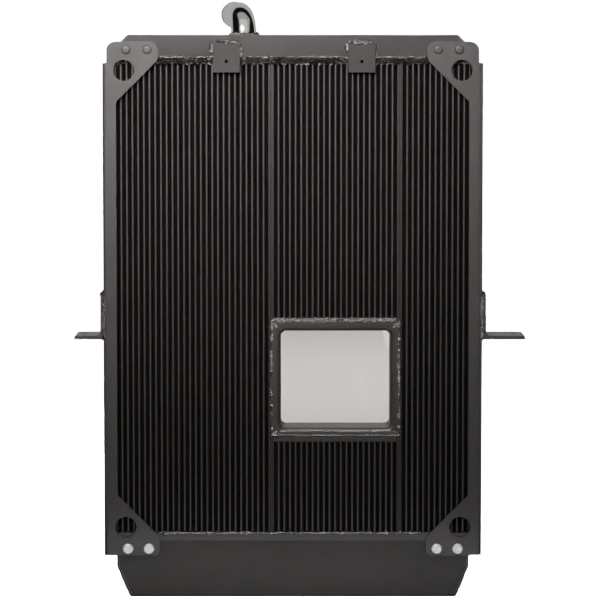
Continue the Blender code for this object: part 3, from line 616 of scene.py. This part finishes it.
def build_tab_welds():
    """Three-sided fillets that hold the tabs to the top tank."""
    for side_name in ("left", "right"):
        low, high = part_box(f"{side_name}_tab")
        tank_y = high.y + GAP
        corner_y = tank_y - 0.0012
        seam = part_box("top_tank")[0].z + 0.003
        top = high.z + 0.0028
        runs = [
            (
                straight((low.x + 0.001, corner_y, top), (high.x - 0.002, corner_y, top)),
                leaning((0.7, FRONT), (0.7, UP)), 0.0100, 0.0048, {"ripple": 0.0064, "rough": 1.4},
            ),
            (
                straight((low.x - 0.0034, corner_y, seam + 0.006), (low.x - 0.0034, corner_y, top)),
                leaning((0.8, FRONT), (-0.6, RIGHT)), 0.0120, 0.0052, {"ripple": 0.0068, "rough": 0.9},
            ),
            (
                straight((high.x + 0.0030, corner_y, seam), (high.x + 0.0030, corner_y, high.z - 0.002)),
                leaning((0.8, FRONT), (0.6, RIGHT)), 0.0085, 0.0040, {"ripple": 0.0060, "rough": 1.2},
            ),
        ]
        weld_piece(f"{side_name}_tab_weld", runs)


def build_bracket_welds():
    """Fillets down both edges of each bracket, over its top and under its foot's root."""
    for side_name, side in (("left", -1), ("right", 1)):
        low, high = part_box(f"{side_name}_foot_bracket")
        channel_low, channel_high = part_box(f"{side_name}_side_channel")
        root = channel_high.x if side_name == "right" else channel_low.x
        outward = side * RIGHT
        runs = []
        for face, out in ((low.y, FRONT), (high.y, BACK)):
            edge = Vector((root - side * 0.0012, face - 0.0002 * out.y, 0))
            runs.append((
                straight(edge + UP * (low.z + 0.001), edge + UP * (high.z - 0.001)),
                leaning((1, out), (0.35, outward)), 0.0085, 0.0022, {"ripple": 0.0048, "rough": 0.7},
            ))
        cap_x = root + side * 0.0030
        runs.append((
            straight((cap_x, low.y + 0.001, high.z - 0.001), (cap_x, high.y - 0.001, high.z - 0.001)),
            leaning((0.45, outward), (0.9, UP)), 0.0088, 0.0046, {"ripple": 0.0052, "rough": 0.7},
        ))
        under_x = root + side * 0.0022
        runs.append((
            straight((under_x, low.y + 0.002, low.z + 0.0006), (under_x, high.y - 0.002, low.z + 0.0006)),
            leaning((0.4, outward), (1, DOWN)), 0.0080, 0.0030, {"ripple": 0.0052, "rough": 0.7},
        ))
        weld_piece(f"{side_name}_bracket_weld", runs, BAND_BLACK)


def build_tank_seams():
    """Ground-down seams where the end plates meet the tanks' faces."""
    for tank in ("top_tank", "bottom_tank"):
        low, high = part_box(tank)
        end = high.x - TANK_SHEET
        if tank == "top_tank":
            corners = [
                (end, low.z + 0.004),
                (end, high.z - TOP_TANK_CHAMFER - 0.002),
                (end - TOP_TANK_CHAMFER + 0.002, high.z - TANK_SHEET),
            ]
        else:
            corners = [
                (end, high.z - 0.003),
                (end, BOTTOM_TANK_SLOPE_TOP + 0.001),
                (BOTTOM_TANK_FOOT - TANK_SHEET * 0.75, low.z + 0.004),
            ]
        for face, out in ((low.y, FRONT), (high.y, BACK)):
            runs = []
            for side in (-1, 1):
                path = [Vector((side * x, face - 0.0001 * out.y, z)) for x, z in corners]
                runs.append((polyline(path), out, 0.0026, 0.00045, {"ripple": 0.0040, "rough": 0.4}))
            weld_piece(f"{tank}_end_seams_{'front' if out is FRONT else 'back'}", runs, BLACK)


def build_ring_welds():
    """Fillets round the feet of the two pipes and round the drain bung."""
    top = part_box("top_tank")[1].z
    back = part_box("bottom_tank")[1].y
    bung_low, bung_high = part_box("drain_bung")
    bung = Vector(((bung_low.x + bung_high.x) / 2, back, (bung_low.z + bung_high.z) / 2))
    rings = (
        ("inlet_weld", Vector((INLET_FOOT.x, INLET_FOOT.y, top)), RIGHT, BACK, UP, PIPE_RADIUS, 0.0086),
        ("outlet_weld", Vector((OUTLET_START.x, back, OUTLET_START.z)), RIGHT, UP, BACK, PIPE_RADIUS, 0.0080),
        ("drain_weld", bung, RIGHT, UP, BACK, (bung_high.x - bung_low.x) / 2, 0.0050),
    )
    for name, centre, u, v, axis, radius, width in rings:
        def outward(point, centre=centre, axis=axis):
            return leaning((0.75, (point - centre).normalized()), (0.66, axis))

        points = circle_points(centre, u, v, radius + 0.0012)
        runs = [(points, outward, width, width * 0.46, {"ripple": 0.0052, "rough": 0.8, "closed": True})]
        weld_piece(name, runs)


# ------------------------------------------------------------------ pipes
def pipe_route(start, first, turn_to, straight_before, radius, straight_after):
    """(point, tangent) pairs along a straight, an optional square bend and a straight."""
    stops = [(start, first)]
    place = start + first * straight_before
    heading = first
    stops.append((place, first))
    if radius:
        centre = place + turn_to * radius
        steps = 28
        for step in range(1, steps + 1):
            angle = math.pi / 2 * step / steps
            point = centre - turn_to * radius * math.cos(angle) + first * radius * math.sin(angle)
            tangent = first * math.cos(angle) + turn_to * math.sin(angle)
            stops.append((point, tangent.normalized()))
        place, heading = stops[-1][0], turn_to
    fine = 30
    for step in range(1, fine + 1):
        stops.append((place + heading * straight_after * step / fine, heading))
    return stops


def pipe_mesh(stops, side):
    """A round tube with a wall, a raised hose bead and a rounded lip. side is square to its route."""
    mouth = stops[-1][0]
    lip = PIPE_SHEET / 2
    loops = []
    for point, tangent in stops:
        to_mouth = (mouth - point).length
        offset = (to_mouth - BEAD_FROM_MOUTH) / BEAD_HALF_LENGTH
        swell = BEAD_SWELL * math.cos(offset * math.pi / 2) ** 2 if abs(offset) < 1 else 0.0
        loops.append((point, tangent, PIPE_RADIUS + swell))
    mouth_point, mouth_tangent, _ = loops.pop()
    for angle in range(0, 181, 30):
        back = lip * (1 - math.sin(math.radians(angle)))
        radius = PIPE_RADIUS - lip + lip * math.cos(math.radians(angle))
        loops.append((mouth_point - mouth_tangent * back, mouth_tangent, radius))
    for point, tangent in reversed(stops[:-1]):
        loops.append((point, tangent, PIPE_RADIUS - PIPE_SHEET))
    bm = bmesh.new()
    rings = []
    for point, tangent, radius in loops:
        up = side.cross(tangent).normalized()
        ring = []
        for i in range(PIPE_SIDES):
            angle = 2 * math.pi * i / PIPE_SIDES
            place = point + radius * (side * math.cos(angle) + up * math.sin(angle))
            ring.append(bm.verts.new(place))
        rings.append(ring)
    bridge(bm, rings, closed=True)
    return finished(bm)


def build_pipes():
    """The bent inlet on the top tank and the straight outlet on the back of the bottom tank."""
    heading = Vector((-math.sin(INLET_YAW), math.cos(INLET_YAW), 0))
    rise = ELBOW_TOP - ELBOW_RADIUS - INLET_FOOT.z
    stops = pipe_route(INLET_FOOT, UP, heading, rise, ELBOW_RADIUS, INLET_LEG)
    side = heading.cross(UP).normalized()
    add_piece("inlet_tube", pipe_mesh(stops, side), TUBE_METAL, ["inlet_pipe"])
    stops = pipe_route(OUTLET_START, BACK, None, 0.004, 0, OUTLET_LENGTH - 0.004)
    add_piece("outlet_tube", pipe_mesh(stops, RIGHT), TUBE_METAL, ["outlet_pipe"])


# ------------------------------------------------------------------ bolts
def turned(bm, profile, sides=48):
    """A closed skin turned about Z from (radius, height) pairs that start and end on the axis."""
    rings = []
    for radius, height in profile[1:-1]:
        ring = []
        for i in range(sides):
            angle = 2 * math.pi * i / sides
            ring.append(bm.verts.new((radius * math.cos(angle), radius * math.sin(angle), height)))
        rings.append(ring)
    bridge(bm, rings)
    for ring, (_, height) in ((rings[0], profile[0]), (rings[-1], profile[-1])):
        tip = bm.verts.new((0, 0, height))
        for i in range(sides):
            bm.faces.new((ring[i], ring[(i + 1) % sides], tip))


def hexagon_head(bm, apothem, height, sides=48):
    """A hexagon with its top corners chamfered to a circle and a shallow dish, standing on Z = 0."""
    top = apothem * 0.95
    slope = 0.55
    outline = []
    for i in range(sides):
        angle = 2 * math.pi * i / sides
        from_flat = (angle % (math.pi / 3)) - math.pi / 6
        outline.append((angle, apothem / math.cos(from_flat)))
    levels = [
        [(radius, 0.0) for _, radius in outline],
        [(radius, height - (radius - top) * slope) for _, radius in outline],
        [(top, height) for _ in outline],
        [(top * 0.80, height) for _ in outline],
        [(top * 0.70, height - 0.0004) for _ in outline],
    ]
    rings = []
    for level in levels:
        ring = []
        for (angle, _), (radius, z) in zip(outline, level):
            ring.append(bm.verts.new((radius * math.cos(angle), radius * math.sin(angle), z)))
        rings.append(ring)
    bridge(bm, rings)
    bm.faces.new(rings[0])
    bm.faces.new(rings[-1])


def shank(bm):
    """A plain M10 shank with a chamfered end."""
    turned(bm, [(0, 0.0005), (0.005, 0.0005), (0.005, -0.0248), (0.0042, -0.026), (0, -0.026)], 24)


def flange_bolt():
    """A flanged M10 hexagon bolt along Z, its flange's underside at 0."""
    bm = bmesh.new()
    turned(bm, [
        (0, 0.0030), (0.0086, 0.0030), (0.0098, 0.0023), (0.0107, 0.0017),
        (0.0109, 0.0010), (0.0109, 0.0002), (0.0106, 0.0), (0, 0.0),
    ])
    shank(bm)
    hexagon_head(bm, 0.0085, 0.0082)
    return finished(bm)


def dome_bolt():
    """A low domed bolt along Z, its head's underside at 0."""
    bm = bmesh.new()
    profile = [
        (0, 0.0019), (0.0045, 0.00188), (0.0078, 0.0017), (0.0088, 0.0013),
        (0.0094, 0.0007), (0.0095, 0.0004), (0.0095, 0.0), (0, 0.0),
    ]
    turned(bm, profile)
    shank(bm)
    return finished(bm)


def build_bolts():
    """Each bolt shares its level's mesh and stands where its node does, a hexagon's corner down."""
    corner_down = Matrix.Rotation(math.radians(30), 4, "Z")
    for level, make, material, slot in (
        ("upper", dome_bolt, BLACK, "black_paint"),
        ("lower", flange_bolt, ZINC, "zinc_plate"),
    ):
        shape = make()
        shape.transform(corner_down)
        shape.materials.append(material)
        shape.shade_smooth()
        shape.set_sharp_from_angle(angle=math.radians(32))
        nodes = [n for n in frame["nodes"] if n.startswith(level) and n.endswith("_bolt")]
        for node in sorted(nodes):
            low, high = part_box(node)
            face = -1 if "front" in node else 1
            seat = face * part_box("left_side_channel")[1].y
            bolt = bpy.data.objects.new(f"{node}_head", shape)
            place = Vector(((low.x + high.x) / 2, seat, (low.z + high.z) / 2))
            bolt.matrix_world = Matrix.Translation(place) @ Matrix.Rotation(-face * math.pi / 2, 4, "X")
            scene.collection.objects.link(bolt)
            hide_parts(node)
            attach(bolt, BODY)


# ------------------------------------------------------------------ carried-over nodes
def dress_nodes():
    """Looks for the nodes that no finer piece replaces, by their material slots in the record."""
    looks = {
        "black_paint": (BLACK, 0.0008),
        "core_paint": (CORE_BLACK, 0.0005),
        "bare_aluminium": (ALUMINIUM, 0.0004),
        "brass": (BRASS, 0.0004),
    }
    replaced = ("_tubes", "_fins", "_bolt", "_pipe")
    for row in frame["record"]["subparts"]:
        if row["node"].endswith(replaced):
            continue
        material, edge = looks[row["material_slot"]]
        # Tanks, tabs and plates other than the window's get the darker copy of the black paint, which paints
        # shade on them.
        if row["node"].endswith(("_tank", "_tab", "_plate")) and not row["node"].startswith("window"):
            material = PAINTED_SHADE_BLACK
        dress(row["node"], material, edge)


# ------------------------------------------------------------------ studio
CAMERA_X = 0.015
CAMERA_AHEAD = 6.5
CAMERA_HEIGHT = 1.20
CAMERA_PITCH = 4.294
CAMERA_LENS = 187.43
CAMERA_SHIFT = -0.0667


def add_light(name, place, target, power, width, height, colour=(1, 1, 1)):
    """A soft rectangular lamp that looks at a point."""
    data = bpy.data.lights.new(name, "AREA")
    data.shape = "RECTANGLE"
    data.size = width
    data.size_y = height
    data.energy = power
    data.color = colour
    lamp = bpy.data.objects.new(name, data)
    lamp.location = place
    lamp.rotation_euler = (Vector(target) - Vector(place)).to_track_quat("-Z", "Y").to_euler()
    lamp.visible_camera = False
    scene.collection.objects.link(lamp)
    return lamp


def stage_piece(name, mesh, material):
    """A piece of the set, which doesn't light the object or show in its reflections."""
    obj = bpy.data.objects.new(name, mesh)
    mesh.materials.append(material)
    scene.collection.objects.link(obj)
    obj.visible_diffuse = False
    obj.visible_glossy = False
    return obj


def build_stage():
    """A pale floor and a white surround."""
    material, tree, shader = new_material("studio_floor", (0.80, 0.79, 0.77), 0.9)
    tint = blend_colours(tree, grain(tree, 3, 2.0), 0.3, 0.7, (0.79, 0.78, 0.76), (0.81, 0.80, 0.78))
    tree.links.new(tint, shader.inputs["Base Color"])
    bm = bmesh.new()
    bmesh.ops.create_circle(bm, cap_ends=True, segments=96, radius=6.4)
    mesh = bpy.data.meshes.new("floor")
    bm.to_mesh(mesh)
    bm.free()
    stage_piece("floor", mesh, material)

    white, _, shader = new_material("studio_white", (1, 1, 1), 1.0)
    shader.inputs["Emission Color"].default_value = (1, 1, 1, 1)
    shader.inputs["Emission Strength"].default_value = 20.0
    bm = bmesh.new()
    bmesh.ops.create_uvsphere(bm, u_segments=48, v_segments=24, radius=14.0)
    mesh = bpy.data.meshes.new("surround")
    bm.to_mesh(mesh)
    bm.free()
    surround = stage_piece("surround", mesh, white)
    surround.visible_transmission = False
    surround.visible_shadow = False


def ramp_up(tree, value, start, end):
    """0 at start and 1 at end, with a smooth step between; start may be the higher one."""
    node = tree.nodes.new("ShaderNodeMapRange")
    node.interpolation_type = "SMOOTHSTEP"
    node.inputs["From Min"].default_value = start
    node.inputs["From Max"].default_value = end
    tree.links.new(value, node.inputs["Value"])
    return node.outputs["Result"]


def combined(tree, operation, *values):
    """Sockets or numbers joined one after another by a maths operation."""
    total = values[0]
    for value in values[1:]:
        node = tree.nodes.new("ShaderNodeMath")
        node.operation = operation
        for socket, item in zip(node.inputs, (total, value)):
            if isinstance(item, (int, float)):
                socket.default_value = item
            else:
                tree.links.new(item, socket)
        total = node.outputs["Value"]
    return total


def build_world():
    """A room: pale behind the object, a pale wall in front of it above the floor, dark elsewhere."""
    world = bpy.data.worlds.new("room")
    scene.world = world
    world.use_nodes = True
    tree = world.node_tree
    place = tree.nodes.new("ShaderNodeTexCoord")
    axes = tree.nodes.new("ShaderNodeSeparateXYZ")
    tree.links.new(place.outputs["Generated"], axes.inputs["Vector"])
    x, y, z = (axes.outputs[name] for name in "XYZ")
    behind = combined(tree, "MULTIPLY", ramp_up(tree, y, 0.28, 0.44), 0.54)
    sides = combined(tree, "MULTIPLY", ramp_up(tree, x, -0.66, -0.52), ramp_up(tree, x, 0.84, 0.72))
    in_front = ramp_up(tree, y, -0.04, -0.16)
    wall = combined(tree, "MULTIPLY", in_front, sides, ramp_up(tree, z, 0.0, 0.06), 0.42)
    background = tree.nodes["Background"]
    background.inputs["Color"].default_value = (1.0, 0.985, 0.96, 1.0)
    tree.links.new(combined(tree, "ADD", behind, wall, 0.01), background.inputs["Strength"])


def chosen(name, *words):
    """A collection, for light linking, of the meshes whose names hold one of the words."""
    group = bpy.data.collections.new(name)
    for obj in scene.objects:
        if obj.type == "MESH" and any(word in obj.name for word in words):
            group.objects.link(obj)
    return group


def all_but(name, *words):
    """A collection, for light linking, that keeps a light off the meshes whose names hold a word."""
    group = chosen(name, *words)
    for member in group.collection_objects:
        member.light_linking.link_state = "EXCLUDE"
    return group


def build_lights():
    """A key and a glint from the upper left, weaker lamps round the object, and lamps of their own
    for the floor, the pipes and the weld beads.
    """
    key = add_light("key", (-0.95, -3.0, 2.35), (-0.2, 0.0, 1.24), 5.3, 2.0, 1.4, (1.0, 0.93, 0.925))
    key.data.spread = math.radians(29)
    glint = add_light("glint", (-0.45, -3.2, 2.30), (-0.15, 0.0, 1.15), 9.5, 0.70, 0.50, (1.0, 0.95, 0.94))
    glint.data.spread = math.radians(40)
    add_light("low", (0.0, -0.30, 0.03), (0.0, 0.0, 0.03), 0.76, 0.9, 0.05)
    rear = add_light("rear", (-0.5, 2.5, 3.5), (0.0, 0.0, 0.6), 38, 1.8, 1.4, (1.0, 0.97, 0.95))
    rear.light_linking.receiver_collection = all_but("not_pipes", "inlet_tube", "outlet_tube")
    frame_sides = chosen("lit_sides", "_channel", "_bracket", "_tank")
    for side, sign, power in (("right", 1, 40), ("left", -1, 24)):
        lamp = add_light(f"side_{side}", (sign * 3.0, -1.0, 1.7), (sign * 0.3, 0.0, 0.8), power, 1.0, 1.6)
        lamp.light_linking.receiver_collection = frame_sides

    strong = add_light("floor_lamp", (CAMERA_X, -6.9, 2.25), (0, 2.0, 0), 340000, 0.8, 0.4)
    soft = add_light("floor_soft", (0.35, 4.2, 2.4), (0.35, 4.2, 0), 54, 1.0, 1.0, (1.0, 0.93, 0.85))
    floor_only = chosen("lit_floor", "floor")
    for lamp in (strong, soft):
        lamp.light_linking.receiver_collection = floor_only
        lamp.visible_glossy = False
    shading = chosen("shading_pieces", "tube_bank", "fin_strips", "window", "_plate", "_tank")
    strong.light_linking.blocker_collection = shading

    pipe_box = add_light("pipe_box", (0.1, -2.6, 2.6), (-0.1, 0.0, 1.2), 15, 3.4, 3.0)
    pipe_box.light_linking.receiver_collection = chosen("lit_pipes", "inlet_tube", "outlet_tube")
    welds = chosen("lit_welds", "_weld")
    places = ((-1.7, -2.6, 2.5), (1.3, -3.0, 2.3), (-0.2, -2.0, 3.1), (0.6, -2.2, 0.3))
    for number, place in enumerate(places):
        lamp = add_light(f"weld_glint_{number}", place, (0.0, 0.0, 0.9), 105, 0.50, 0.50)
        lamp.light_linking.receiver_collection = welds


def build_camera():
    """A long lens in front of the radiator, looking slightly down."""
    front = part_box("left_side_channel")[0].y
    data = bpy.data.cameras.new("camera")
    data.lens = CAMERA_LENS
    data.shift_y = CAMERA_SHIFT
    data.clip_end = 60
    camera = bpy.data.objects.new("camera", data)
    camera.location = (CAMERA_X, front - CAMERA_AHEAD, CAMERA_HEIGHT)
    camera.rotation_euler = (math.radians(90 - CAMERA_PITCH), 0, 0)
    scene.collection.objects.link(camera)
    scene.camera = camera


# ------------------------------------------------------------------ assembly
dress_nodes()
for block in BLOCKS:
    build_tubes(block)
    build_fins(block)
build_header_welds()
build_window_welds()
build_window_corners()
build_tab_welds()
build_bracket_welds()
build_tank_seams()
build_ring_welds()
build_pipes()
build_bolts()
build_world()
build_stage()
build_lights()
build_camera()
